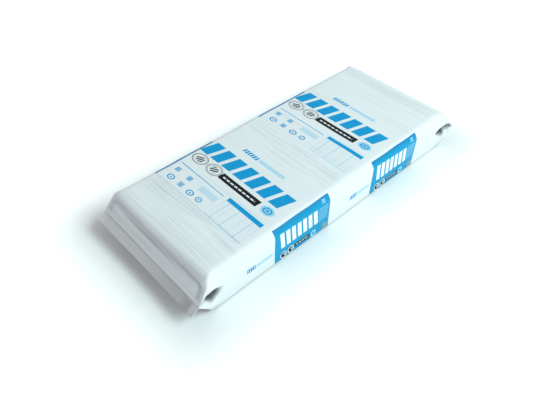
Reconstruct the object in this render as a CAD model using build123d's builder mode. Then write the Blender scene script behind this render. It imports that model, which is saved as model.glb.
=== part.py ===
"""A bag of loose-fill mineral wool for blowing, lying flat on the floor.

The bag is one tube of white polythene film with a gusset down each long side. Each end of the
tube is pressed flat and welded into a fin that runs across the whole width. At the four corners
the gusset is tucked in on its way to the weld, and leaves an eye-shaped pocket. The wool is
pressed into the bag as a block with rounded long edges.

Frame: +X along the bag, +Y across it, +Z up. The origin is on the floor, under the middle.
All sizes are in millimetres.
"""

import os
from math import cos, pi, radians, sin

from build123d import *

# the pressed block
BLOCK_LENGTH = 1280.0  # between the two end edges of the top face
BLOCK_WIDTH = 550.0
BLOCK_HEIGHT = 172.0
LONG_EDGE_RADIUS = 36.0  # the film rounds off over the wool along the sides
END_EDGE_RADIUS = 50.0  # and more widely where the end panels turn down

# the film, drawn thicker than the real 0.15 mm so that its two faces stay apart when meshed
FILM_GAUGE = 0.5

# the welded ends
WELD_REACH = 55.0  # how far a weld stands out from the end of the block
WELD_SPREAD = 11.0  # pressed flat, the tube is this much wider than the filled bag on each side
WELD_LAYERS = 2  # the upper and the lower panel
GUSSET_LAYERS = 4  # those two, and the gusset folded between them
FIN_LENGTH = 38.0  # from the weld line to the cut edge
FIN_DROOP = 38.0  # degrees below level

# the tucked gussets
FLARE_START = 80.0  # the sides start to spread this far inside the end of the block
TUCK_START = 65.0  # each eye starts this far inside the end of the block
EYE_HEIGHT = 52.0
EYE_END_GAP = 2.5  # between the tip of the eye and the weld line

# the top and bottom faces dip a little before they turn down at the ends
DIP_START = 60.0
DIP_DEPTH = 1.5

# the wool stops short of the weld
WOOL_NOSE = 14.0

weld_height = BLOCK_HEIGHT / 2
weld_x = BLOCK_LENGTH / 2 + WELD_REACH
weld_width = BLOCK_WIDTH + 2 * WELD_SPREAD
flare_x = BLOCK_LENGTH / 2 - FLARE_START
# a quarter of the film's girth, from the middle of the top to the middle of a gusset
quarter_girth = (BLOCK_WIDTH + BLOCK_HEIGHT) / 2 - (2 - pi / 2) * LONG_EDGE_RADIUS
gusset_depth = quarter_girth - weld_width / 2
weld_thickness = WELD_LAYERS * FILM_GAUGE
gusset_thickness = GUSSET_LAYERS * FILM_GAUGE
droop = radians(FIN_DROOP)


def block_section(length_position, width, inset):
    """A rounded rectangle across the bag, set in by the film's gauge for the inside."""
    centre = Plane(
        origin=(length_position, 0, weld_height), x_dir=(0, 1, 0), z_dir=(1, 0, 0)
    )
    with BuildSketch(centre) as section:
        RectangleRounded(
            width - 2 * inset, BLOCK_HEIGHT - 2 * inset, LONG_EDGE_RADIUS - inset
        )
    return section.sketch.face()


def end_clearance(inset):
    """The space above the upper slope of one end, rounded where the top face turns down."""
    face_height = BLOCK_HEIGHT - inset
    slope_x = BLOCK_LENGTH / 2 - 1.2 * inset
    past_x = weld_x + WELD_REACH
    past_height = weld_height + weld_thickness / 2 - inset
    fall = (face_height - DIP_DEPTH - past_height) / (WELD_REACH - 1.2 * inset)
    with BuildSketch(Plane.XZ) as space:
        with BuildLine():
            Polyline(
                (BLOCK_LENGTH / 2 - DIP_START, face_height + DIP_DEPTH),
                (slope_x, face_height - DIP_DEPTH),
                (weld_x - 1.2 * inset, past_height),
                (past_x, past_height - fall * WELD_REACH),
                (past_x, face_height + DIP_DEPTH),
                close=True,
            )
        make_face()
        turn = space.vertices().sort_by_distance((slope_x, face_height))[0]
        fillet(turn, END_EDGE_RADIUS - inset)
    with BuildPart() as clearance:
        extrude(space.sketch, amount=weld_width, both=True)
    return clearance.part


def gusset_tuck(inset):
    """The pocket at one corner: an eye in the bag's side that narrows to a point inside."""
    mouth_y = weld_width / 2 + 1
    inner_x = BLOCK_LENGTH / 2 - TUCK_START - 2 * inset
    outer_x = weld_x - EYE_END_GAP + 2 * inset
    with BuildSketch(Plane.XZ.offset(-mouth_y)) as eye:
        with BuildLine():
            for side in (1, -1):
                lid_height = weld_height + side * (EYE_HEIGHT / 2 + inset)
                lid_middle = ((inner_x + outer_x) / 2, lid_height)
                ThreePointArc((inner_x, weld_height), lid_middle, (outer_x, weld_height))
        make_face()
    fold_end = Vertex(
        weld_x - 4 * EYE_END_GAP, weld_width / 2 - gusset_depth - 4 * inset, weld_height
    )
    with BuildPart() as tuck:
        loft([eye.sketch.face(), fold_end])
    return tuck.part


def bag_form(inset):
    """The closed form of the filled bag, without its fins."""
    sections = [
        block_section(-weld_x, weld_width, inset),
        block_section(-flare_x, BLOCK_WIDTH, inset),
        block_section(flare_x, BLOCK_WIDTH, inset),
        block_section(weld_x, weld_width, inset),
    ]
    above = end_clearance(inset)
    below = above.mirror(Plane.XY.offset(weld_height))
    tuck = gusset_tuck(inset)
    far_tuck = tuck.mirror(Plane.XZ)
    with BuildPart() as form:
        loft(sections, ruled=True)
        for tool in (above, below, tuck, far_tuck):
            add(tool, mode=Mode.SUBTRACT)
            add(tool.mirror(Plane.YZ), mode=Mode.SUBTRACT)
    return form.part


inside = bag_form(FILM_GAUGE)

with BuildPart() as film_bag:
    add(bag_form(0))
    add(inside, mode=Mode.SUBTRACT)
film_bag.part.label = "film_bag"

with BuildPart() as weld_fins:
    fin = Plane(
        origin=(weld_x, 0, weld_height),
        x_dir=(cos(droop), 0, -sin(droop)),
        z_dir=(sin(droop), 0, cos(droop)),
    )
    with BuildSketch(fin.offset(-weld_thickness / 2)):
        Rectangle(FIN_LENGTH, weld_width, align=(Align.MIN, Align.CENTER))
    extrude(amount=weld_thickness)
    # the folded gusset doubles the layers near both ends of the fin
    with BuildSketch(fin.offset(-gusset_thickness / 2)):
        for edge in (-1, 1):
            with Locations((0, edge * (weld_width - gusset_depth) / 2)):
                Rectangle(FIN_LENGTH, gusset_depth, align=(Align.MIN, Align.CENTER))
    extrude(amount=gusset_thickness)
    mirror(about=Plane.YZ)
    add(film_bag.part, mode=Mode.SUBTRACT)
weld_fins.part.label = "weld_fins"

with BuildPart() as wool_fill:
    add(inside)
    Box(2 * (weld_x - WOOL_NOSE), weld_width, 2 * BLOCK_HEIGHT, mode=Mode.INTERSECT)
wool_fill.part.label = "wool_fill"

os.makedirs("parts", exist_ok=True)
for piece in (film_bag, weld_fins, wool_fill):
    export_step(piece.part, f"parts/{piece.part.label}.step")
    bounds = piece.part.bounding_box()
    print(piece.part.label, bounds.min, bounds.max, round(piece.part.volume))
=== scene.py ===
"""The looks of a bag of loose-fill mineral wool: white printed film, tucked gussets, welded ends.

The film is one closed shell that follows the film's own coordinates: s runs along the tube and u
runs round it from the middle of the upper panel. The print, the wrinkles and the weld marks all
read these two, so they stay where they are on the film when it turns a corner. Lengths in the
classes are millimetres, and meshes are written in metres.
"""

import logging
import math
from dataclasses import dataclass
from enum import Enum

import bpy
import numpy as np
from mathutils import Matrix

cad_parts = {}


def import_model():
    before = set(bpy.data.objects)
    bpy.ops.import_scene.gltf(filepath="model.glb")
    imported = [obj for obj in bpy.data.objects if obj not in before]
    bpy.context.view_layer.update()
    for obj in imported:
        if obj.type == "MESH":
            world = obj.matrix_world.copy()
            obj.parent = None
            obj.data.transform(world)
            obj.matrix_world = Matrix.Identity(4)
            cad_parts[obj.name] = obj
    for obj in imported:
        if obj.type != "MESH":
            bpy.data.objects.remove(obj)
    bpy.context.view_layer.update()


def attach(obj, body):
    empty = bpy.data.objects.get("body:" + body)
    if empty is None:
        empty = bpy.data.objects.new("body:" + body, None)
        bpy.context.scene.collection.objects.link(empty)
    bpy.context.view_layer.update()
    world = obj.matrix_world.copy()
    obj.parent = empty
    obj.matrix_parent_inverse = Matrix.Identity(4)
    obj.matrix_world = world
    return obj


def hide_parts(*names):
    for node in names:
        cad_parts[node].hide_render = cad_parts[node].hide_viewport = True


LOG = logging.getLogger("wool_bag")
MM = 0.001

Curve = tuple[tuple[float, float], ...]  # pairs of place and height, in rising order of place

# how steeply the upper panel falls, in degrees, by film from where it starts to turn
END_TILT: Curve = (
    (0, 0), (14, 4), (27, 11), (40, 20), (52, 33),
    (61, 50), (69, 65), (80, 61), (105, 57), (400, 54),
)
# how much of the long edge's radius is left, by distance along the bag
EDGE_LEFT: Curve = ((598, 1.0), (622, 0.86), (645, 0.5), (662, 0.22), (680, 0.1), (700, 0.05))
# how far in the gusset's fold lies, by distance along the bag
FOLD_DEPTH: Curve = (
    (560, 0), (575, 1.5), (590, 6), (610, 17), (630, 31),
    (650, 45), (672, 55), (695, 59.5), (760, 59.5),
)
LEVEL: Curve = ((560, 0), (760, 0))  # no pocket at all
# where the pocket's painted shade starts, above its fold, and where it ends, round the film
POCKET_LIP: Curve = ((575, 2), (600, 11), (620, 19), (640, 25), (665, 29))
POCKET_REACH: Curve = ((585, 351), (620, 366), (650, 380), (672, 380), (697, 364), (722, 350))


def smooth(low: float, high: float, value: np.ndarray) -> np.ndarray:
    """Return the smooth step from 0 at low to 1 at high."""
    t = np.clip((np.asarray(value, float) - low) / (high - low), 0.0, 1.0)
    return t * t * (3.0 - 2.0 * t)


def bell(middle: float, width: float, value: np.ndarray) -> np.ndarray:
    """Return a bell curve of height 1 around middle."""
    return np.exp(-(((np.asarray(value, float) - middle) / width) ** 2))


def through(points: Curve, value: np.ndarray) -> np.ndarray:
    """Return a smooth curve through points, level before the first and after the last.

    Args:
        points: pairs of place and height, in rising order of place.
        value: where the curve is wanted.

    Returns:
        The curve's height at each value.
    """
    places = np.array([p for p, _ in points], float)
    heights = np.array([h for _, h in points], float)
    rise = np.gradient(heights, places)
    rise[0] = rise[-1] = 0.0
    x = np.clip(np.asarray(value, float), places[0], places[-1])
    k = np.clip(np.searchsorted(places, x, side="right") - 1, 0, len(places) - 2)
    gap = places[k + 1] - places[k]
    t = (x - places[k]) / gap
    return (
        heights[k] * (2 * t**3 - 3 * t**2 + 1)
        + rise[k] * gap * (t**3 - 2 * t**2 + t)
        + heights[k + 1] * (3 * t**2 - 2 * t**3)
        + rise[k + 1] * gap * (t**3 - t**2)
    )


@dataclass(frozen=True)
class Crumple:
    """Soft random unevenness of the film, the same on each run.

    Args:
        seed: which unevenness.
        along: the length of one swell along the bag.
        around: its length round the girth, rounded so that the pattern closes.
        girth: the length once round the film.
    """

    seed: int
    along: float
    around: float
    girth: float

    def at(self, s: np.ndarray, u: np.ndarray) -> np.ndarray:
        """Return the unevenness on the film.

        Args:
            s: the station of each point.
            u: its distance round the film.

        Returns:
            The unevenness, mostly between -1 and 1.
        """
        cells = max(2, round(self.girth / self.around))
        rows = 4096
        draw = np.random.default_rng(self.seed).standard_normal((rows, cells)) * 0.6
        a = np.asarray(s, float) / self.along + rows / 2
        b = np.asarray(u, float) / self.girth * cells
        i, j = np.floor(a).astype(int), np.floor(b).astype(int)
        p, q = a - i, b - j
        p, q = p * p * (3 - 2 * p), q * q * (3 - 2 * q)
        i0, i1, j0, j1 = i % rows, (i + 1) % rows, j % cells, (j + 1) % cells
        return (draw[i0, j0] * (1 - p) + draw[i1, j0] * p) * (1 - q) + (
            draw[i0, j1] * (1 - p) + draw[i1, j1] * p
        ) * q


@dataclass
class FilmShape:
    """The sizes of the filled film, and where each point of it lies.

    The shape is worked out for the end at +X and mirrored for the other.

    Args:
        block_length: the wool's length, between the two end edges of the upper panel.
        width: the filled bag's width.
        height: its height.
        edge_radius: how widely the film rounds off at the upper long edges.
        lower_radius: how tightly it turns in at the floor.
        weld_reach: how far a weld stands out from the end of the block.
        weld_spread: how much wider the flat tube is on each side.
        fin_length: from the weld line to the cut edge.
        fin_droop: how far a fin hangs below level, in degrees.
        droop_less: how much less it hangs at its end at +Y, in degrees.
        weld_half: half the thickness of the weld.
        slack_start: the station from which the gusset's film hangs back from the weld.
    """

    block_length: float = 1280.0
    width: float = 550.0
    height: float = 172.0
    edge_radius: float = 36.0
    lower_radius: float = 9.0
    weld_reach: float = 55.0
    weld_spread: float = 11.0
    fin_length: float = 38.0
    fin_droop: float = 38.0
    droop_less: float = 13.0
    weld_half: float = 0.9
    slack_start: float = 520.0

    def __post_init__(self) -> None:
        """Work out the profile of the end from its turning angles."""
        self.middle = self.height / 2
        self.girth = 4 * self.quarter
        self._profile()

    @property
    def quarter(self) -> float:
        """The film from the middle of the upper panel to the middle of a gusset."""
        r = self.edge_radius
        return self.width / 2 - r + math.pi / 2 * r + self.middle - r

    @property
    def weld_x(self) -> float:
        """How far the weld lies from the middle of the bag."""
        return self.block_length / 2 + self.weld_reach

    def _profile(self) -> None:
        """Integrate the upper panel's path over the end edge, down to the weld and along the fin."""
        step, longest, rounds, easing = 0.5, 170.0, 30, 0.6
        # just before the weld the panel steepens by the pinch, and past it the fin takes over
        pinch, pinch_width, fin_turn = 14.0, 3.0, 5.0
        s = np.arange(0.0, longest + self.fin_length, step)
        fall, weld = self.middle - self.weld_half, 130.0
        for _ in range(rounds):
            angle = through(END_TILT, s) + pinch * bell(weld - pinch_width, pinch_width, s)
            angle = angle - (angle - self.fin_droop) * smooth(weld, weld + fin_turn, s)
            x = np.cumsum(np.cos(np.radians(angle))) * step
            z = np.cumsum(np.sin(np.radians(angle))) * step
            weld += easing * (float(s[np.searchsorted(z, fall)]) - weld)
        self.turn_start = self.weld_x - float(np.interp(weld, s, x))
        self.weld_s = self.turn_start + weld
        self.fin_s = self.weld_s + self.fin_length
        self._s = self.turn_start + s
        self._x = self.turn_start + x
        self._fall = z
        LOG.info("end panel from s %.1f to the weld at s %.1f", self.turn_start, self.weld_s)

    def upper_x(self, s: np.ndarray) -> np.ndarray:
        """Return how far along the bag the upper panel's film lies."""
        return np.where(s <= self.turn_start, s, np.interp(s, self._s, self._x))

    def level(self, s: np.ndarray) -> np.ndarray:
        """Return the height of the bag's middle surface, which the fin follows down."""
        past = np.clip(s - self.weld_s, 0, None)
        return self.middle - past * math.sin(math.radians(self.fin_droop))

    def half_height(self, s: np.ndarray) -> np.ndarray:
        """Return the height of the upper panel over the middle surface.

        Args:
            s: the station of each point.

        Returns:
            The height, never less than half the weld's thickness.
        """
        fall = np.interp(s, self._s, self._fall)
        fall = np.where(s <= self.turn_start, 0.0, fall)
        return np.maximum(self.middle - fall, self.weld_half)

    def side_x(self, s: np.ndarray) -> np.ndarray:
        """Return how far along the bag the gusset's film lies, which hangs back from the weld.

        Args:
            s: the station of each point.

        Returns:
            The distance from the middle of the bag.
        """
        lead = self.weld_s - self.slack_start
        t = np.clip((s - self.slack_start) / lead, 0, 1)
        lost = 1 - (self.weld_x - self.slack_start) / lead
        x = self.slack_start + lead * (t - 2 * lost * (t**3 - t**4 / 2))
        past = np.clip(s - self.weld_s, 0, None) * math.cos(math.radians(self.fin_droop))
        return np.where(s <= self.slack_start, s, x) + past


class Half(Enum):
    """The upper or the lower half of a section."""

    UPPER = 1
    LOWER = -1


@dataclass
class PocketEdge:
    """One lip of the pocket at a corner, by its distance along the bag.

    Args:
        lift: how far the lip stands from the middle surface.
        roll: the radius that the film turns in over the lip.
    """

    lift: Curve
    roll: Curve


UPPER_LIP = PocketEdge(
    lift=(
        (556, 0), (575, 4), (600, 13), (620, 21), (640, 27),
        (654, 29), (668, 24), (682, 13), (694, 0.45), (760, 0.45),
    ),
    roll=((556, 0.5), (600, 2.5), (640, 1.4), (690, 0.2), (760, 0.2)),
)
LOWER_LIP = PocketEdge(
    lift=(
        (556, 0), (575, 1), (600, 4), (630, 9), (652, 12),
        (670, 10), (684, 5), (694, 0.45), (760, 0.45),
    ),
    roll=((556, 3), (600, 14), (640, 20), (665, 15), (684, 5), (694, 0.2), (760, 0.2)),
)


@dataclass
class Section:
    """A quarter of the section across the bag, from the panel's middle to the gusset's fold.

    Args:
        shape: the bag's sizes.
        edge: the pocket's lip.
        depth: how far in the gusset's fold lies, by distance along the bag.
        radius: how widely the film turns down at the long edge.
        counts: mesh columns on the panel, the long edge, the wall, the lip and inside the pocket.
        bulge: how far the wall swells out beside the pocket.
        wall_end: where the wall's columns end away from the pockets, by distance round the film.
        lip_end: where the lip's columns end there.
    """

    shape: FilmShape
    edge: PocketEdge
    depth: Curve
    radius: float
    counts: tuple[int, ...] = (26, 14, 11, 8, 16)
    bulge: float = 2.5
    wall_end: float = 314.0
    lip_end: float = 325.0

    def outline(self, h: float, x: float, front: float) -> tuple[np.ndarray, np.ndarray]:
        """Return the outline at one station, with more points than the mesh has columns.

        Args:
            h: the panel's height over the middle surface.
            x: where the gusset's film lies along the bag.
            front: where the panel's film lies along the bag.

        Returns:
            Points by distance from the centre line and height, and the number of the last point
            of the panel, the long edge, the wall, the lip and the pocket's inside.
        """
        shape = self.shape
        spread = float(smooth(shape.block_length / 2 - 30, shape.weld_x, front))
        half_width = shape.width / 2 + shape.weld_spread * spread
        # the lip, its roll and the long edge share the height, so each takes only a part of it
        lift = min(max(float(through(self.edge.lift, x)), 0.0), 0.7 * h)
        depth = max(float(through(self.depth, x)), 0.0)
        roll = min(float(through(self.edge.roll, x)), 0.45 * depth, 0.5 * (h - lift))
        roll = max(roll, 0.01)
        radius = self.radius * float(through(EDGE_LEFT, front))
        radius = max(min(radius, 0.85 * (h - lift - roll)), 0.02)
        low = h - radius
        points, lip_points, inner_points = 24, 16, 32
        flat = np.stack([np.linspace(0, half_width - radius, points), np.full(points, h)], 1)
        a = np.linspace(0, math.pi / 2, points)[1:]
        corner = np.stack([half_width - radius + radius * np.sin(a), low + radius * np.cos(a)], 1)
        t = np.linspace(0, 1, points)[1:]
        swell = self.bulge * float(smooth(600, 650, x)) * float(smooth(0.0, 30.0, h))
        swell = swell * np.sin(math.pi * t) ** 2
        wall = np.stack([half_width + swell, low + (lift + roll - low) * t], 1)
        a = np.linspace(0, math.pi * 0.56, lip_points)[1:]
        lip = np.stack([half_width - roll + roll * np.cos(a), lift + roll - roll * np.sin(a)], 1)
        # inside the pocket the film runs in one soft curve to the gusset's fold
        start, end = lip[-1], np.array([half_width - depth, 0.0])
        reach = float(np.hypot(*(start - end)))
        first = start + np.array([-0.98, -0.15]) * reach * 0.45
        second = end + np.array([0.0, 1.0]) * min(0.5 * lift, 0.4 * reach)
        t = np.linspace(0, 1, inner_points)[1:, None]
        inner = (1 - t) ** 3 * start + 3 * (1 - t) ** 2 * t * first
        inner = inner + 3 * (1 - t) * t**2 * second + t**3 * end
        parts = [flat, corner, wall, lip, inner]
        return np.concatenate(parts), np.cumsum([len(part) for part in parts]) - 1

    def place(self, s: float) -> tuple[np.ndarray, ...]:
        """Return the place of each column of the film at one station.

        Args:
            s: the station along the film.

        Returns:
            Distance round the film from the panel's middle, distance from the bag's centre
            line, height over the middle surface, and how far each point has gone over from the
            panel's station to the gusset's, 0 to 1.
        """
        shape = self.shape
        one = np.array([s])
        x = float(shape.side_x(one)[0])
        path, ends = self.outline(float(shape.half_height(one)[0]), x, float(shape.upper_x(one)[0]))
        along = np.concatenate([[0], np.cumsum(np.hypot(*np.diff(path, axis=0).T))])
        knots = np.concatenate([[0], along[ends]])
        # a tighter long edge takes more film, which the panel's coordinate gives up
        excess = shape.width / 2 + shape.middle - (2 - math.pi / 2) * self.radius - shape.quarter
        turn = knots[2]
        turned = turn - excess
        scale = (shape.quarter - turned) / max(knots[-1] - turn, 1e-6)
        stretch = np.where(along > turn, turned + (along - turn) * scale, along * turned / turn)
        knots = np.where(knots > turn, turned + (knots - turn) * scale, knots * turned / turn)
        # away from the pockets the columns keep to even places
        flat_end = shape.width / 2 - self.radius - excess
        edge_end = flat_end + math.pi / 2 * self.radius
        plain = np.array([0, flat_end, edge_end, self.wall_end, self.lip_end, shape.quarter])
        share = float(smooth(558, 612, x))
        knots = plain * (1 - share) + knots * share
        film = [np.linspace(knots[k], knots[k + 1], n + 1)[:-1] for k, n in enumerate(self.counts)]
        film = np.concatenate(film + [np.array([shape.quarter])])
        y = np.interp(film, stretch, path[:, 0])
        z = np.interp(film, stretch, path[:, 1])
        over = smooth(turned - 64, turned + (shape.quarter - turned) * 0.45, film)
        return film, y, z, over


@dataclass
class Creases:
    """The film's wrinkles and creases: how far each point rises, and its painted shade.

    The painted shade stands for shade that the light alone doesn't give. It is tuned to the
    photograph's view, so some of it is on the near end only, at -X.

    Args:
        shape: the bag's sizes.
        s: the station of each point along the film.
        u: its distance round the film.
        trough_depth: how deep the trough of an end panel is.
        groove_depth: how deep the weld's groove is.
        pleat_painted_shade: how strongly painted shade darkens the pleats' valleys.
        trough_painted_shade: how strongly painted shade darkens the trough.
        pocket_painted_shade: how strongly painted shade darkens the pockets.
        fold_painted_shade: how strongly painted shade darkens the fold lines.
        tip_painted_shade: how strongly painted shade darkens the near fin's tip.
    """

    shape: FilmShape
    s: np.ndarray
    u: np.ndarray
    trough_depth: float = 5.0
    groove_depth: float = 0.35
    # strengths of the painted shade in each kind of hollow
    pleat_painted_shade: float = 0.22
    trough_painted_shade: float = 0.30
    pocket_painted_shade: float = 0.86
    fold_painted_shade: float = 0.07
    tip_painted_shade: float = 0.14

    def __post_init__(self) -> None:
        """Work out where each point lies, in the terms that the creases share."""
        girth, weld_s = self.shape.girth, self.shape.weld_s
        signed = np.where(self.u > girth / 2, self.u - girth, self.u)
        self.side = np.abs(signed)
        self.y = -signed
        self.end = np.abs(self.s)
        self.near = self.s < 0
        self.down = self.end - self.shape.turn_start
        # 1 on the upper panel, under the bag, on an end panel, and where the film isn't pressed flat
        self.upper = 1 - smooth(215, 275, self.side)
        self.under = smooth(430, 470, self.side)
        self.face = smooth(48, 72, self.down) * (1 - smooth(weld_s - 6, weld_s, self.end))
        self.open_film = 1 - smooth(weld_s - 30, weld_s, self.end)
        self.bend = 5 * self.uneven(11, 90, 160)
        self.rise = np.zeros_like(self.s)
        self.shade = np.zeros_like(self.s)

    def uneven(self, seed: int, along: float, around: float, drift: float | np.ndarray = 0.0) -> np.ndarray:
        """Return soft unevenness of its own seed and lengths, with its stations drifted."""
        return Crumple(seed, along, around, self.shape.girth).at(self.s + drift, self.u)

    @staticmethod
    def ridged(noise: np.ndarray, sharpness: float) -> np.ndarray:
        """Return narrow ridges where the noise passes 0."""
        return np.clip(1 - np.abs(noise) * sharpness, 0, 1) ** 2

    def press(self) -> None:
        """Work out all of them."""
        self.wrinkle()
        self.pleat()
        self.crease_ends()
        self.shade_sides()
        self.fold()

    def wrinkle(self) -> None:
        """Swell the film softly, and draw fine ripples across the upper panel, more in some strips, with
        painted shade in their valleys.
        """
        swell = 1.5 * self.uneven(1, 150, 150) + 0.7 * self.uneven(2, 60, 90)
        self.rise += swell * 0.9 * (1 - self.under) * self.open_film
        ripple = self.uneven(3, 8.5, 210, self.bend)
        fine = self.uneven(4, 5.0, 120, self.bend)
        ridge = self.ridged(self.uneven(5, 13, 300, self.bend * 1.4), 2.2)
        # where a strip's middle lies, its width and its strength
        strips = ((-528, 42, 1.0), (-15, 38, 0.55), (-600, 26, 0.6), (570, 50, 0.8))
        strip = sum(strength * bell(middle, width, self.s) for middle, width, strength in strips)
        on_top = self.upper * (1 - self.face) * self.open_film
        self.rise += on_top * (0.3 * ripple + 0.1 * fine + strip * (0.8 * ridge + 0.3 * ripple))
        # painted shade in the ripples' valleys, stronger in the strips
        self.shade += on_top * np.clip(-ripple, 0, 1.6) * (0.045 + 0.09 * strip)

    def pleat(self) -> None:
        """Lay the few long pleats across the upper panel, with a valley beside each, darkened by painted
        shade.
        """
        # station at the left edge, in the middle and at the right edge, height, and where it fades
        lines = (
            (-482, -480, -478, 1.2, -235, 250),
            (-491, -486, -483, 1.1, -235, 250),
            (-506, -497, -489, 0.9, -170, 250),
            (-521, -507, -496, 1.2, -90, 250),
            (-537, -522, -510, 1.1, -30, 250),
            (-551, -538, -528, 0.9, 20, 250),
            (-568, -562, -556, 0.7, -60, 160),
            (-590, -594, -590, 1.0, -240, 110),
            (-606, -603, -599, 0.8, -240, 40),
            (-616, -613, -609, 0.6, -200, 120),
            (-30, -24, -16, 0.8, -240, 250),
            (-12, -4, 6, 1.0, -240, 250),
            (12, 16, 22, 0.7, -120, 250),
            (560, 566, 570, 0.9, -240, 250),
            (578, 582, 585, 0.9, -240, 250),
            (596, 598, 600, 0.8, -240, 250),
        )
        pleats = np.zeros_like(self.s)
        for left, middle, right, height, low, high in lines:
            station = through(((-250, right), (0, middle), (250, left)), self.y)
            fade = smooth(low - 25, low + 45, self.y) * (1 - smooth(high - 30, high + 20, self.y))
            off = self.s + self.bend * 0.25 - station
            pleats += 1.5 * height * fade * (bell(0, 1.9, off) - 0.55 * bell(4.2, 2.6, off))
        pleats *= self.upper
        self.rise += pleats
        # painted shade in the pleats' valleys
        self.shade += self.pleat_painted_shade * np.clip(-pleats, 0, 1.2)

    def crease_ends(self) -> None:
        """Press long soft creases and one deep trough into the end panels, and paint shade in them and over
        the near end's rounding.
        """
        drift = 7 * self.uneven(12, 200, 260)
        crease = self.uneven(6, 11, 330, drift)
        stack = self.ridged(self.uneven(7, 17, 420, drift), 1.8)
        calm = 0.35 + 0.65 * smooth(-190, 60, self.y)
        self.rise += self.face * calm * (1.3 * crease + 1.9 * stack - 0.7) * (1 - self.under * 0.3)
        # the trough follows one rounded path, across the panel and down beside its rim
        lowest, beside, turn = 102, 232, 30
        rim = np.minimum(self.side, self.shape.girth / 2 - self.side)
        path = np.hypot(np.clip(lowest - self.down, 0, None), np.clip(rim - beside, 0, None))
        trough = bell(0, 8.5, path - turn + drift * 0.3) * (1 - smooth(112, 140, self.down))
        towards_side = smooth(60, -220, self.y)
        self.rise -= self.trough_depth * trough * (0.65 + 0.35 * towards_side)
        # painted shade in the trough
        self.shade += self.trough_painted_shade * trough * (0.75 + 0.25 * towards_side)
        # painted shade over the whole end panel, and more in its creases' valleys
        valleys = 0.27 * np.clip(-crease, 0, 1.5) + 0.14 * np.clip(0.5 - stack, 0, 1)
        self.shade += self.face * (0.03 + calm * valleys)
        # painted shade where the upper panel rounds over at the near end, darker towards -Y
        near_rounding_painted_shade = smooth(22, 60, self.down) * (1 - self.face) * (0.12 + 0.16 * smooth(20, -220, self.y))
        self.shade += near_rounding_painted_shade * (self.side < 262) * self.near

    def shade_sides(self) -> None:
        """Paint a contact shadow along the line where the side meets the floor, and paint shade inside the
        pockets.
        """
        side, end = self.side, self.end
        # painted contact shadow along the foot of each side, wider near the corners
        low = 0.9 * bell(431, 5.5, side) + 0.3 * bell(424, 10, side) * smooth(600, 640, end)
        self.shade += low * (1 - smooth(672, 700, end))
        # painted shade inside the pockets, under the upper lip
        pocket = smooth(582, 622, end) * (1 - smooth(700, 726, end))
        lip = self.shape.quarter - through(POCKET_LIP, end)
        reach = through(POCKET_REACH, end)
        pocket *= smooth(0, 5, side - lip) * (1 - smooth(reach - 10, reach + 16, side))
        self.shade += self.pocket_painted_shade * pocket

    def fold(self) -> None:
        """Press in a fold line above and a fainter one below the gusset, with painted shade along each, and
        the weld's groove.
        """
        upper_fold = 277.0 - 8.0 * smooth(500, 590, self.end)
        for fold, deep in ((upper_fold, 1.5), (403.0, 0.6)):
            line = deep * bell(0, 2.6, self.side - fold) * (1 - smooth(610, 645, self.end))
            self.rise -= line
            # painted shade along the fold line
            self.shade += self.fold_painted_shade * line
        groove = bell(self.shape.weld_s + 1.5, 2.2, self.end)
        self.rise -= self.groove_depth * groove * (self.side < self.shape.quarter)

    def shade_tip(self, past: np.ndarray, y: np.ndarray) -> None:
        """Paint shade over the tip of the near fin at -Y, where the key light reaches past the bag's
        corner.

        Args:
            past: how far each point lies past the weld line.
            y: where it lies across the bag.
        """
        # painted shade over the near fin's tip
        self.shade += self.tip_painted_shade * smooth(0, 3, past) * smooth(205, 240, -y) * self.near


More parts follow.
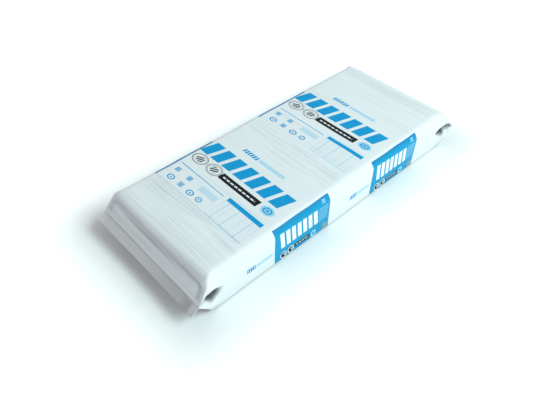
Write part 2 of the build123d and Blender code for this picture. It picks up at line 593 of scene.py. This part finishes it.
@dataclass
class FilmShell:
    """The film as one closed mesh of quads, with the film's coordinates on its corners."""

    shape: FilmShape
    name: str = "film_shell"
    middle_step: float = 3.2
    fine_step: float = 2.0
    fine_start: float = 425.0

    def stations(self) -> np.ndarray:
        """Return the stations from the middle to the cut edge of one fin, closer near the end."""
        shape, start = self.shape, self.fine_start
        middle = np.linspace(0, start, round(start / self.middle_step) + 1)[:-1]
        end = np.linspace(start, shape.fin_s, round((shape.fin_s - start) / self.fine_step) + 1)
        return np.concatenate([middle, end])

    def grid(self, pockets: bool = True) -> tuple[np.ndarray, np.ndarray, np.ndarray]:
        """Return the places and film coordinates of every row and column.

        Args:
            pockets: whether the gussets tuck in at the corners.

        Returns:
            Places as rows x columns x 3, and s and u as rows x columns.
        """
        shape = self.shape
        upper_lip, lower_lip, depth = UPPER_LIP, LOWER_LIP, FOLD_DEPTH
        if not pockets:
            upper_lip = lower_lip = PocketEdge(LEVEL, LEVEL)
            depth = LEVEL
        upper = Section(shape, upper_lip, depth, shape.edge_radius)
        lower = Section(shape, lower_lip, depth, shape.lower_radius)
        stations = self.stations()
        quarters = []
        for half, section in ((Half.UPPER, upper), (Half.LOWER, lower)):
            rows = [section.place(s) for s in stations]
            u, y, z, over = (np.stack([row[k] for row in rows]) for k in range(4))
            x = shape.upper_x(stations)[:, None] * (1 - over) + shape.side_x(stations)[:, None] * over
            # the layers of the weld stay apart by a hair
            gap = 0.12 * smooth(shape.weld_x - 14, shape.weld_x, x)
            z = np.maximum(z, gap * (u < shape.quarter - 0.01))
            quarters.append((x, y, shape.level(stations)[:, None] + half.value * z, u))
        upper_side, lower_side = quarters
        x, y, z, u = (np.concatenate([a, b[:, -2::-1]], 1) for a, b in zip(upper_side, lower_side))
        n = upper_side[0].shape[1]
        u[:, n:] = 2 * shape.quarter - u[:, n:]
        # the near side is at -Y, and the far side is its mirror image, walked back to the start
        x = np.concatenate([x, x[:, -2:0:-1]], 1)
        y = np.concatenate([-y, y[:, -2:0:-1]], 1)
        z = np.concatenate([z, z[:, -2:0:-1]], 1)
        u = np.concatenate([u, shape.girth - u[:, -2:0:-1]], 1)
        half = np.stack([x, y, z], -1)
        places = np.concatenate([half[:0:-1] * np.array([-1.0, 1.0, 1.0]), half])
        s = np.concatenate([-stations[:0:-1], stations])
        return places, np.repeat(s[:, None], u.shape[1], 1), np.concatenate([u[:0:-1], u])

    @staticmethod
    def faces(rows: int, count: int) -> list[list[int]]:
        """Return the quads of a tube and the two faces that close its ends.

        Args:
            rows: stations in all.
            count: columns all the way round.

        Returns:
            Vertex numbers of each face.
        """
        i, j = np.meshgrid(np.arange(rows - 1), np.arange(count), indexing="ij")
        k = (j + 1) % count
        corners = [i * count + j, i * count + k, (i + 1) * count + k, (i + 1) * count + j]
        tube = np.stack(corners, -1).reshape(-1, 4).tolist()
        first, last = list(range(count)), list(range((rows - 1) * count, rows * count))
        return tube + [first[::-1], last]

    @staticmethod
    def outward(places: np.ndarray) -> np.ndarray:
        """Return the outward normal at each place of a tube.

        Args:
            places: its rows and columns of places.

        Returns:
            Unit vectors, or none where rows meet in one line.
        """
        along = np.gradient(places, axis=0)
        around = np.roll(places, -1, 1) - np.roll(places, 1, 1)
        normal = np.cross(around, along)
        normal /= np.maximum(np.linalg.norm(normal, axis=-1, keepdims=True), 1e-9)
        return normal if normal[len(places) // 2, 0, 2] > 0 else -normal

    def build(self) -> bpy.types.Object:
        """Make the film's object, with its coordinates and its painted shade as attributes."""
        places, s, u = self.grid()
        places, shade = self.crumple(places, s, u)
        obj = self.mesh_object(self.name, places)
        self.write_film(obj.data, s, u)
        # the painted shade of creases, pockets and edges, as a mesh attribute
        painted_shade = obj.data.attributes.new("shade", "FLOAT", "POINT")
        painted_shade.data.foreach_set("value", shade.astype(np.float32).reshape(-1))
        return obj

    @classmethod
    def mesh_object(cls, name: str, places: np.ndarray) -> bpy.types.Object:
        """Make an object from a tube, with smooth shading but for its two ends.

        Args:
            name: the object's name.
            places: the tube's rows and columns of places, in millimetres.

        Returns:
            The object, linked to the scene.
        """
        rows, count = places.shape[:2]
        mesh = bpy.data.meshes.new(name)
        faces = cls.faces(rows, count)
        mesh.from_pydata((places.reshape(-1, 3) * MM).tolist(), [], faces)
        smoothed = np.ones(len(faces), bool)
        smoothed[-2:] = False
        mesh.polygons.foreach_set("use_smooth", smoothed)
        mesh.update()
        obj = bpy.data.objects.new(name, mesh)
        bpy.context.scene.collection.objects.link(obj)
        return obj

    def write_film(self, mesh: bpy.types.Mesh, s: np.ndarray, u: np.ndarray) -> None:
        """Write the film's coordinates on each face corner, in metres.

        The second is signed from the upper panel's middle, and stays whole across each face.

        Args:
            mesh: the film's mesh.
            s: the station of each vertex.
            u: its distance round the film.
        """
        index = np.zeros(len(mesh.loops), int)
        mesh.loops.foreach_get("vertex_index", index)
        flat_s, flat_u = s.reshape(-1)[index], u.reshape(-1)[index]
        start = np.zeros(len(mesh.polygons), int)
        total = np.zeros(len(mesh.polygons), int)
        mesh.polygons.foreach_get("loop_start", start)
        mesh.polygons.foreach_get("loop_total", total)
        owner = np.repeat(np.arange(len(start)), total)
        girth = self.shape.girth
        signed = np.where(flat_u > girth / 2, flat_u - girth, flat_u)
        most = np.maximum.reduceat(signed, start)[owner]
        signed = np.where((most > girth / 4) & (signed < -girth / 4), signed + girth, signed)
        film = mesh.attributes.new("film", "FLOAT_VECTOR", "CORNER")
        data = np.stack([flat_s, signed, np.zeros_like(flat_s)], 1) * MM
        film.data.foreach_set("vector", data.astype(np.float32).reshape(-1))

    def crumple(self, places: np.ndarray, s: np.ndarray, u: np.ndarray) -> tuple[np.ndarray, np.ndarray]:
        """Press the film's wrinkles and creases into it, and let each fin hang.

        Args:
            places: the smooth film.
            s: the station of each point along the film.
            u: its distance round the film.

        Returns:
            The new places, and how much painted shade darkens each point, 0 to 1.
        """
        shape = self.shape
        creases = Creases(shape, s, u)
        creases.press()
        places = places + self.outward(places) * creases.rise[..., None]
        past = np.clip(np.abs(s) - shape.weld_s, 0, None)
        creases.shade_tip(past, places[..., 1])
        # one end of a fin hangs less than the other
        drooped = math.radians(shape.fin_droop)
        angle = drooped - math.radians(shape.droop_less) * smooth(-40, 270, places[..., 1])
        places[..., 0] += np.sign(s) * past * (np.cos(angle) - math.cos(drooped))
        places[..., 2] += past * (math.sin(drooped) - np.sin(angle))
        places[..., 2] = np.maximum(places[..., 2], 0.0)
        # the painted shade never goes fully dark
        darkest = 0.92
        return places, np.clip(creases.shade, 0.0, darkest)


@dataclass
class Wire:
    """A shader socket that takes part in sums as a number would."""

    bench: "NodeBench"
    socket: bpy.types.NodeSocket

    def __add__(self, other: "Wire | float") -> "Wire":
        """Return the sum."""
        return self.bench.maths("ADD", self, other)

    def __radd__(self, other: float) -> "Wire":
        """Return the sum with a number before it."""
        return self.bench.maths("ADD", other, self)

    def __sub__(self, other: "Wire | float") -> "Wire":
        """Return the difference."""
        return self.bench.maths("SUBTRACT", self, other)

    def __rsub__(self, other: float) -> "Wire":
        """Return a number less this."""
        return self.bench.maths("SUBTRACT", other, self)

    def __mul__(self, other: "Wire | float") -> "Wire":
        """Return the product."""
        return self.bench.maths("MULTIPLY", self, other)

    def __rmul__(self, other: float) -> "Wire":
        """Return the product with a number before it."""
        return self.bench.maths("MULTIPLY", other, self)

    def __truediv__(self, other: "Wire | float") -> "Wire":
        """Return the quotient."""
        return self.bench.maths("DIVIDE", self, other)

    def __gt__(self, other: "Wire | float") -> "Wire":
        """Return 1 where this is the greater, else 0."""
        return self.bench.maths("GREATER_THAN", self, other)

    def __lt__(self, other: "Wire | float") -> "Wire":
        """Return 1 where this is the smaller, else 0."""
        return self.bench.maths("LESS_THAN", self, other)

    def __abs__(self) -> "Wire":
        """Return the size without its sign."""
        return self.bench.maths("ABSOLUTE", self, 0.0)

    def __or__(self, other: "Wire") -> "Wire":
        """Return the larger of two masks."""
        return self.bench.maths("MAXIMUM", self, other)

    def __and__(self, other: "Wire") -> "Wire":
        """Return the smaller of two masks."""
        return self.bench.maths("MINIMUM", self, other)


@dataclass
class NodeBench:
    """Makes the nodes of one material."""

    material: bpy.types.Material

    @classmethod
    def fresh(cls, name: str) -> "NodeBench":
        """Return the bench of a new material that has no nodes yet."""
        material = bpy.data.materials.new(name)
        material.use_nodes = True
        material.node_tree.nodes.clear()
        return cls(material)

    @property
    def tree(self) -> bpy.types.NodeTree:
        """The material's node tree."""
        return self.material.node_tree

    def node(self, kind: str, settings: dict | None = None, **sockets: object) -> bpy.types.Node:
        """Make any node.

        Args:
            kind: the node's type name.
            settings: properties that are set before its sockets.
            sockets: values or wires by socket name, with _ for a space, or in0, in1 by place.

        Returns:
            The node.
        """
        made = self.tree.nodes.new(kind)
        for key, value in (settings or {}).items():
            setattr(made, key, value)
        for key, value in sockets.items():
            by_place = key[:2] == "in" and key[2:].isdigit()
            entry = made.inputs[int(key[2:]) if by_place else key.replace("_", " ")]
            if isinstance(value, Wire):
                self.tree.links.new(value.socket, entry)
            else:
                entry.default_value = value
        return made

    def give(self, shader: bpy.types.Node, obj: bpy.types.Object) -> None:
        """Put a shader on the material's output, and the material on an object.

        Args:
            shader: the node.
            obj: what the material is for.
        """
        self.node("ShaderNodeOutputMaterial", Surface=self.wire(shader))
        obj.data.materials.clear()
        obj.data.materials.append(self.material)

    def wire(self, node: bpy.types.Node, output: int | str = 0) -> Wire:
        """Return one output of a node as a wire."""
        return Wire(self, node.outputs[output])

    def maths(self, operation: str, *values: Wire | float) -> Wire:
        """Return a Math node's result."""
        sockets = {f"in{i}": v for i, v in enumerate(values)}
        return self.wire(self.node("ShaderNodeMath", {"operation": operation}, **sockets))

    def mix(self, factor: Wire | float, first: Wire | tuple, second: Wire | tuple) -> Wire:
        """Return a colour between two.

        Args:
            factor: 0 for the first, 1 for the second.
            first: a colour.
            second: another.

        Returns:
            The mixed colour.
        """
        settings = {"data_type": "RGBA"}
        made = self.node("ShaderNodeMix", settings, in0=factor, in6=first, in7=second)
        return self.wire(made, 2)

    def noise(self, place: Wire, scale: float, detail: float = 2.0, rough: float = 0.5) -> Wire:
        """Return noise around 0.5 at a place."""
        made = self.node("ShaderNodeTexNoise", Vector=place, Scale=scale, Detail=detail, Roughness=rough)
        return self.wire(made, 0)


@dataclass(frozen=True)
class Ink:
    """The printing inks, the film's own colour and the dark tone of its painted shade, as linear colours.
    """

    film: tuple = (0.745, 0.79, 0.81, 1.0)
    blue: tuple = (0.004, 0.30, 0.62, 1.0)
    panel_blue: tuple = (0.004, 0.30, 0.55, 1.0)
    # painted shade: the deeper blue of each side panel's top strip
    panel_painted_shade_blue: tuple = (0.003, 0.15, 0.36, 1.0)
    pale_blue: tuple = (0.30, 0.60, 0.80, 1.0)
    black: tuple = (0.012, 0.014, 0.016, 1.0)
    fin: tuple = (0.655, 0.65, 0.655, 1.0)
    weld: tuple = (0.44, 0.46, 0.465, 1.0)
    white: tuple = (0.80, 0.86, 0.88, 1.0)
    # painted shade: the dark tone that the film's painted shade darkens towards
    fold: tuple = (0.03, 0.032, 0.032, 1.0)
    patch: tuple = (0.25, 0.33, 0.33, 1.0)


@dataclass(frozen=True)
class SidePanel:
    """The blue panel printed on one side, once per repeat.

    Args:
        sign: -1 for the side at -Y, 1 for the side at +Y.
        start: the station where the first one starts.
        upper_edge: its upper edge, by distance round the film.
        lower_edge: its lower edge, under the bag.
        length: how long it is.
    """

    sign: float
    start: float
    upper_edge: float
    lower_edge: float = 470.0
    length: float = 275.5


@dataclass
class FilmPrint:
    """The printing on the film: plain bars, rings and a ruled grid, once per repeat.

    Args:
        bench: the material's bench.
        ink: the colours.
        repeat: the length of one repeat along the film.
        start: the station where the print starts.
        stop: the station where it stops.
        margin: how far it reaches to either side of the upper panel's middle.
        side_panels: the panels of both sides.
        small_rings: the small blue rings' centres and half sizes.
        small_squares: the small blue squares' centres.
        thin: the thickness of the grid's thin lines.
        thick: the thickness of its thick lines.
        thin_lines: where its thin long lines lie, across the panel.
        thick_lines: where its thick ones lie.
    """

    bench: NodeBench
    ink: Ink
    repeat: float = 520.0
    start: float = -500.0
    stop: float = 540.0
    margin: float = 245.0
    side_panels: tuple[SidePanel, ...] = (SidePanel(-1.0, -357.0, 258.0), SidePanel(1.0, -481.3, 247.0))
    small_rings: tuple = ((-450, 193.5, 13, 18.5), (-450, 76.5, 13, 18.5), (-449, 26, 12, 14.5))
    small_squares: tuple = ((-406, 208), (-406, 136.5), (-448, 135))
    thin: float = 0.9
    thick: float = 2.8
    thin_lines: tuple = (-42.8, -85, -157.5, -222.8)
    thick_lines: tuple = (-65, -118, -188.5)

    def __post_init__(self) -> None:
        """Read the film's coordinates in millimetres, s along and y across with +Y positive."""
        b = self.bench
        film = b.node("ShaderNodeAttribute", {"attribute_name": "film"})
        parts = b.node("ShaderNodeSeparateXYZ", in0=b.wire(film, "Vector"))
        self.place = b.wire(film, "Vector")
        self.s = b.wire(parts, 0) * (1 / MM)
        self.y = b.wire(parts, 1) * (-1 / MM)
        self.x = self.shifted(self.start)
        self.slant = self.y + (self.x + 235.0) * 0.28

    def band(self, value: Wire, low: float, high: float) -> Wire:
        """Return 1 between low and high."""
        half = (high - low) / 2
        return abs(value - (low + half)) < half

    def box(self, x: Wire, y: Wire, x0: float, x1: float, y0: float, y1: float) -> Wire:
        """Return 1 inside a rectangle."""
        return self.band(x, x0, x1) * self.band(y, y0, y1)

    def patch(self, x0: float, x1: float, y0: float, y1: float) -> Wire:
        """Return 1 inside a rectangle on the upper panel."""
        return self.box(self.x, self.y, x0, x1, y0, y1)

    def oval(self, x: Wire, y: Wire, cx: float, cy: float, rx: float, ry: float) -> Wire:
        """Return the distance from an oval's centre, 1 on its edge.

        Args:
            x: the first coordinate.
            y: the second.
            cx: the centre's first coordinate.
            cy: its second.
            rx: half the oval's size along the first.
            ry: half its size along the second.

        Returns:
            The distance.
        """
        a = (x - cx) / rx
        c = (y - cy) / ry
        return self.bench.maths("SQRT", a * a + c * c)

    def every(self, value: Wire, period: float, part: float) -> Wire:
        """Return 1 in the first part of each period."""
        return self.bench.maths("FLOORED_MODULO", value, period) < part

    def shifted(self, start: float) -> Wire:
        """Return s folded into one repeat that begins at start."""
        return self.bench.maths("FLOORED_MODULO", self.s - start, self.repeat) + start

    def blue_marks(self) -> Wire:
        """Return the row of slanted bars, the name lines, the head of the grid and the small marks."""
        x, y, slant = self.x, self.y, self.slant
        bars = self.band(x, -274.0, -196.0) * self.band(slant, -205.0, 238.0)
        blue = bars * self.every(slant + 205.0, 65.8, 48.0)
        blue = blue | self.patch(-158, -138, 42, 126) * self.every(slant, 14.0, 9.5)
        blue = blue | self.patch(-374, -369.5, -22, 231) * self.every(y, 9.0, 7.0)
        blue = blue | self.patch(-377.7, -359, -223, -42.5)
        for cx, cy, rx, ry in self.small_rings:
            ring = self.oval(x, y, cx, cy, rx, ry)
            blue = blue | (self.band(ring, 0.66, 1.0) + (ring < 0.26))
        for cx, cy in self.small_squares:
            square = self.patch(cx - 11, cx + 11, cy - 12, cy + 12)
            blue = blue | square * self.every(x + y, 9.0, 6.4)
        return blue

    def grid(self) -> Wire:
        """Return the ruled grid's lines."""
        lines = self.band(self.x, -476.5, -475)
        for places, wide in ((self.thin_lines, self.thin), (self.thick_lines, self.thick)):
            for line in places:
                lines = lines | self.band(self.y, line - wide / 2, line + wide / 2)
        return lines * self.patch(-476.5, -376, -223.3, -42) | self.patch(-352, -350.4, -225, -85)

    def pale_marks(self, badge: Wire) -> Wire:
        """Return what is printed in pale blue on the upper panel.

        Args:
            badge: the distance from the scalloped badge's centre, 1 on its edge.

        Returns:
            The mask, fainter on the grid's close rows.
        """
        x, y, b = self.x, self.y, self.bench
        rest = self.patch(-156, -140, -102, 38) * self.every(self.slant, 12.0, 8.6)
        foot = self.patch(-478, -477, -224, 240)
        text = self.patch(-418, -392, -20, 74) * self.every(x + 418.0, 5.4, 2.8)
        petals = b.maths("SINE", b.maths("ARCTAN2", (x + 306.5) * 1.45, y + 181.5) * 12.0)
        scallop = self.band(badge, 0.0, 1.0) * (badge < 0.9 + petals * 0.06)
        rows = self.patch(-476.5, -378, -222, -43) * self.every(x + 378.0, 10.0, 1.1)
        return rest | self.grid() | foot | text | scallop | rows * 0.45

    def black_marks(self) -> Wire:
        """Return the black bar and the two large rings."""
        x, y = self.x, self.y
        black = self.box(x, y + (x + 309) * 0.12, -325, -292.5, -136, 73)
        for cy in (198.5, 112.5):
            ring = self.oval(x, y, -309, cy, 28, 39.5)
            core = (self.oval(x, y, -309, cy, 15, 21) < 1.0) * self.every(x + y * 0.5, 12.0, 7.0)
            black = black | self.band(ring, 0.93, 1.0) | self.band(ring, 0.78, 0.83) | core
        return black

    def colour(self) -> Wire:
        """Return the film's colour with all its printing."""
        b, ink = self.bench, self.ink
        printed = self.band(self.s, self.start, self.stop)
        top = self.band(self.y, -self.margin, self.margin) * printed
        badge = self.oval(self.x, self.y, -306.5, -181.5, 23, 33.5)
        core = (self.band(badge, 0.42, 0.6) | (badge < 0.2)) * (badge < 0.7)
        dash = self.patch(-312, -306, -118, 58) * self.every(self.y, 22.0, 16.0)
        colour = b.mix(self.pale_marks(badge) * top, ink.film, ink.pale_blue)
        colour = b.mix((self.blue_marks() | core) * top, colour, ink.blue)
        colour = b.mix(self.black_marks() * top, colour, ink.black)
        colour = b.mix(dash * top, colour, ink.white)
        for panel in self.side_panels:
            colour = self.side(colour, printed, panel)
        return colour

    def side(self, colour: Wire, printed: Wire, panel: SidePanel) -> Wire:
        """Return the colour with the panels printed on one side.

        Args:
            colour: the colour so far.
            printed: 1 where the film is printed at all.
            panel: the side's panel.

        Returns:
            The new colour.
        """
        b, ink, start = self.bench, self.ink, panel.start
        v = self.y * panel.sign  # from the upper panel's middle, down this side
        x = self.shifted(start)
        wave = b.maths("SINE", self.s * 0.045) * 0.5
        field = self.band(x, start, start + panel.length)
        field = field * self.band(v + wave, panel.upper_edge, panel.lower_edge)
        field = field * self.band(self.s, start - 1, start + 2 * self.repeat - 1)
        # p runs along the panel from its left end, as seen from that side
        left, way = (start, 1.0) if panel.sign < 0 else (start + panel.length, -1.0)
        p = (x - left) * way
        lean = p - (v - 327.0) * 0.10
        bars = self.band(lean, 28.0, 216.0) * (v > p * 0.05 + 285.0) * (v < 366.0)
        bars = bars * self.every(lean - 28.0, 27.6, 19.0)
        strip = self.box(p, v, 99, 176, 392, 411)
        dash = self.box(p, v, 106, 168, 399, 404) * self.every(p, 15.0, 11.0)
        rings = (self.oval(p, v, 43, 407, 15, 18) < 1.0) | (self.oval(p, v, 79, 405, 15, 18) < 1.0)
        cores = self.core(p, v, 43, 407) | self.core(p, v, 79, 405)
        badge = self.oval(p, v, 195, 407, 14, 17)
        lines = self.box(p, v, 218, 266, 298, 366) * self.every(v, 13.0, 3.8)
        square = self.box(p, v, 236, 252, 266, 284) * self.every(p, 8.0, 5.0)
        # painted shade: the panel's top strip is drawn in a deeper blue, darkest at its upper edge
        shade = b.maths("MAXIMUM", 1.0 - (v - panel.upper_edge) / 18.0, 0.0) * 0.8
        colour = b.mix(field, colour, ink.panel_blue)
        colour = b.mix(field * shade, colour, ink.panel_painted_shade_blue)
        colour = b.mix(field * (lines | square | ((badge < 1.0) * (badge > 0.45))), colour, ink.pale_blue)
        colour = b.mix(field * self.box(p, v, 244, 266, 392, 424), colour, ink.patch)
        colour = b.mix(field * (bars | rings), colour, ink.white)
        colour = b.mix(field * (strip | cores), colour, ink.black)
        colour = b.mix(field * dash, colour, ink.white)
        # the short name line on the white film between the panels, strong and then faint
        step = self.every(lean, 9.0, 6.8)
        strong = self.box(p, v, 393, 431, 350, 372) * step
        faint = self.box(p, v, 435, 510, 354, 370) * (step * 0.4 + 0.45)
        colour = b.mix(printed * strong, colour, ink.blue)
        return b.mix(printed * faint, colour, ink.pale_blue)

    def core(self, p: Wire, v: Wire, cx: float, cy: float) -> Wire:
        """Return the black core of one ring on a side panel, with its square notch."""
        notch = self.box(p, v, cx + 1, cx + 9, cy - 5, cy + 3)
        return (self.oval(p, v, cx, cy, 11.5, 14) < 1.0) * (notch < 0.5)


@dataclass(frozen=True)
class FilmFinish:
    """Printed white polythene film with a satin skin.

    Args:
        ink: the colours.
        weld: the station of the weld line.
        roughness: the satin skin's roughness.
        ior: its index of refraction.
        specular: its specular level.
    """

    ink: Ink = Ink()
    weld: float = 738.0
    roughness: float = 0.42
    ior: float = 1.42
    specular: float = 0.18

    def dress(self, obj: bpy.types.Object) -> None:
        """Give the film its material.

        Args:
            obj: the film.
        """
        b = NodeBench.fresh("printed_film")
        sheet = FilmPrint(b, self.ink)
        mottled = b.noise(sheet.place, 14.0, 3.0)
        # fine hairs of stretched film, long round the bag and close along it
        settings = {"vector_type": "POINT"}
        stretch = b.node("ShaderNodeMapping", settings, Vector=sheet.place, Scale=(160.0, 9.0, 1.0))
        hair = b.noise(b.wire(stretch), 1.0, 3.0, 0.6)
        bump = b.node("ShaderNodeBump", Strength=0.25, Distance=0.0006, Height=hair)
        shader = b.node(
            "ShaderNodeBsdfPrincipled",
            Base_Color=self.colour(b, sheet),
            Roughness=self.roughness - 0.05 + mottled * 0.12,
            Normal=b.wire(bump),
            IOR=self.ior,
            Specular_IOR_Level=self.specular,
        )
        b.give(shader, obj)

    def colour(self, b: NodeBench, sheet: FilmPrint) -> Wire:
        """Return the printed film's colour with its weld, its fin, a painted highlight on the fin's cut
        corner and its painted shade.

        Args:
            b: the material's bench.
            sheet: the printing.

        Returns:
            The colour.
        """
        end = abs(sheet.s) - self.weld
        fin = b.maths("SMOOTH_MIN", b.maths("MAXIMUM", end * 0.25 + 1.0, 0.0), 1.0, 0.1)
        groove = b.maths("MAXIMUM", 1.0 - abs(end - 1.5) * 0.28, 0.0)
        colour = b.mix(fin, sheet.colour(), self.ink.fin)
        colour = b.mix(groove * 0.5, colour, self.ink.weld)
        # the fin's cut corner catches the light
        around = abs(sheet.y)
        tip = (self.ramp(b, around, 282.0, 284.0) * self.ramp(b, around, 292.0, 288.0)) * fin
        colour = b.mix(tip * 0.8, colour, self.ink.white)
        # painted shade read from the mesh darkens the colour towards the dark shade tone
        painted_shade = b.wire(b.node("ShaderNodeAttribute", {"attribute_name": "shade"}), "Fac")
        return b.mix(painted_shade, colour, self.ink.fold)

    @staticmethod
    def ramp(b: NodeBench, value: Wire, low: float, high: float) -> Wire:
        """Return a straight ramp from 0 at low to 1 at high."""
        climb = b.maths("MULTIPLY_ADD", value, 1.0 / (high - low), -low / (high - low))
        return b.maths("MINIMUM", b.maths("MAXIMUM", climb, 0.0), 1.0)


@dataclass(frozen=True)
class WoolFinish:
    """Pale tufts of mineral wool."""

    pale: tuple = (0.78, 0.76, 0.71, 1.0)
    shade: tuple = (0.52, 0.49, 0.43, 1.0)

    def dress(self, obj: bpy.types.Object) -> None:
        """Give the wool its material.

        Args:
            obj: the wool.
        """
        b = NodeBench.fresh("mineral_wool")
        place = b.wire(b.node("ShaderNodeTexCoord"), "Object")
        tufts = b.noise(place, 55.0, 6.0, 0.65)
        fibre = b.noise(place, 420.0, 4.0, 0.7)
        bump = b.node("ShaderNodeBump", Strength=0.8, Distance=0.003, Height=tufts + fibre * 0.5)
        shader = b.node(
            "ShaderNodeBsdfPrincipled",
            Base_Color=b.mix(tufts, self.shade, self.pale),
            Roughness=0.96 - fibre * 0.1,
            Sheen_Weight=0.25,
            Normal=b.wire(bump),
        )
        b.give(shader, obj)


@dataclass
class WoolCore:
    """The pressed wool, which follows the film from inside.

    Args:
        shell: the film that it fills.
        name: its object's name.
        inset: how far it lies inside the film.
        nose: the half height at which it stops, before the weld.
        tuft_height: how far its tufts stand out.
        waist: how much it draws in beside the pockets, as a share of its width.
        thin: it takes every so many rows and columns of the film's mesh.
    """

    shell: FilmShell
    name: str = "pressed_wool"
    inset: float = 6.0
    nose: float = 16.0
    tuft_height: float = 1.6
    waist: float = 0.27
    thin: int = 3

    def build(self) -> bpy.types.Object:
        """Make the wool's object, which draws in beside the pockets and stops before the welds."""
        shape, thin = self.shell.shape, self.thin
        places, s, u = self.shell.grid(pockets=False)
        keep = shape.half_height(np.abs(s[:, 0])) > self.nose
        places, s, u = (grid[keep][::thin, ::thin] for grid in (places, s, u))
        places[..., 1] *= 1 - self.waist * smooth(530, 600, np.abs(places[..., 0]))
        tuft = Crumple(21, 16, 18, shape.girth).at(s, u)
        places = places - self.shell.outward(places) * (self.inset + self.tuft_height * tuft)[..., None]
        return self.shell.mesh_object(self.name, places)


@dataclass
class Studio:
    """The pale floor, the soft key light and the camera, fitted to the photograph's view.

    Args:
        eye: where the camera stands, in metres.
        yaw: how far it is turned from +Y towards +X, in degrees.
        down: how far it looks down, in degrees.
        lens: its focal length on a sensor of 36 mm.
        glow: how strongly the floor shines where the backdrop has burnt out.
        reach: how far from the bag it has burnt out, in metres.
        bag_half: half the bag's length and width, where the floor starts to burn out.
        floor_colours: the floor's two soft tones.
        glow_colour: the burnt-out backdrop's colour.
        key_place: where the soft key light hangs, in metres.
        key_power: its power in watts.
        key_size: its width in metres.
        key_colour: its colour.
        air_colour: the colour of the light from all round.
        air_strength: its strength.
    """

    eye: tuple = (-1.1591, -1.1165, 1.5038)
    yaw: float = 42.53
    down: float = 45.24
    lens: float = 35.36
    glow: float = 0.42
    reach: float = 0.30
    bag_half: tuple = (0.70, 0.28)
    floor_colours: tuple = ((0.80, 0.825, 0.83, 1), (0.82, 0.835, 0.835, 1))
    glow_colour: tuple = (1.0, 0.97, 0.96, 1.0)
    key_place: tuple = (2.6, -4.6, 5.6)
    key_power: float = 520.0
    key_size: float = 4.0
    key_colour: tuple = (0.79, 1.0, 0.98)
    air_colour: tuple = (1.01, 1.0, 1.03, 1.0)
    air_strength: float = 0.46

    def floor(self) -> None:
        """Lay a wide pale floor, which burns out to white away from the bag."""
        bpy.ops.mesh.primitive_plane_add(size=24.0, location=(0, 0, 0))
        floor = bpy.context.active_object
        floor.name = "studio_floor"
        b = NodeBench.fresh("studio_white")
        place = b.wire(b.node("ShaderNodeTexCoord"), "Object")
        parts = b.node("ShaderNodeSeparateXYZ", in0=place)
        out_x, out_y = (
            b.maths("MAXIMUM", abs(b.wire(parts, axis)) - half, 0.0)
            for axis, half in enumerate(self.bag_half)
        )
        far = b.maths("MINIMUM", b.maths("SQRT", out_x * out_x + out_y * out_y) / self.reach, 1.0)
        shader = b.node(
            "ShaderNodeBsdfPrincipled",
            Base_Color=b.mix(b.noise(place, 0.6), *self.floor_colours),
            Roughness=0.6,
            Specular_IOR_Level=0.2,
            Emission_Color=b.mix(far * far * (3.0 - 2.0 * far), (0.0, 0.0, 0.0, 1.0), self.glow_colour),
            Emission_Strength=self.glow,
        )
        b.give(shader, floor)

    def key(self) -> None:
        """Hang one square soft light that faces the bag."""
        data = bpy.data.lights.new("key", "AREA")
        data.shape = "SQUARE"
        data.size = self.key_size
        data.energy = self.key_power
        data.color = self.key_colour
        lamp = bpy.data.objects.new("key", data)
        bpy.context.scene.collection.objects.link(lamp)
        lamp.location = self.key_place
        x, y, z = self.key_place
        aim = 0.1  # above the floor
        lamp.rotation_euler = (math.atan2(math.hypot(x, y), z - aim), 0.0, math.atan2(y, x) + math.pi / 2)

    def build(self) -> None:
        """Set up the studio."""
        self.floor()
        self.key()
        world = bpy.data.worlds.new("studio_air")
        bpy.context.scene.world = world
        world.use_nodes = True
        back = world.node_tree.nodes["Background"]
        back.inputs["Color"].default_value = self.air_colour
        back.inputs["Strength"].default_value = self.air_strength
        camera = bpy.data.objects.new("camera", bpy.data.cameras.new("camera"))
        bpy.context.scene.collection.objects.link(camera)
        camera.data.lens = self.lens
        camera.data.sensor_width = 36.0
        camera.data.sensor_fit = "HORIZONTAL"
        camera.data.clip_end = 60.0
        camera.location = self.eye
        camera.rotation_euler = (math.radians(90 - self.down), 0.0, -math.radians(self.yaw))
        bpy.context.scene.camera = camera
        bpy.context.scene.view_settings.view_transform = "Standard"


def corners(bounds: object) -> list[list[float]]:
    """Return a box's two corners as plain lists."""
    return [[float(v) for v in corner] for corner in bounds]


def main() -> None:
    """Build the bag and its studio, and report each piece."""
    logging.basicConfig(level=logging.INFO, format="%(name)s: %(message)s")
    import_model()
    bpy.ops.object.select_all(action="DESELECT")
    Studio().build()
    shape = FilmShape()
    shell = FilmShell(shape)
    film = shell.build()
    FilmFinish(weld=shape.weld_s).dress(film)
    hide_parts("film_bag", "weld_fins")
    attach(film, "root")
    LOG.info("%s: %d faces", film.name, len(film.data.polygons))
    wool = WoolCore(shell).build()
    WoolFinish().dress(wool)
    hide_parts("wool_fill")
    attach(wool, "root")
    LOG.info("%s: %d faces", wool.name, len(wool.data.polygons))


if __name__ == "__main__":
    main()
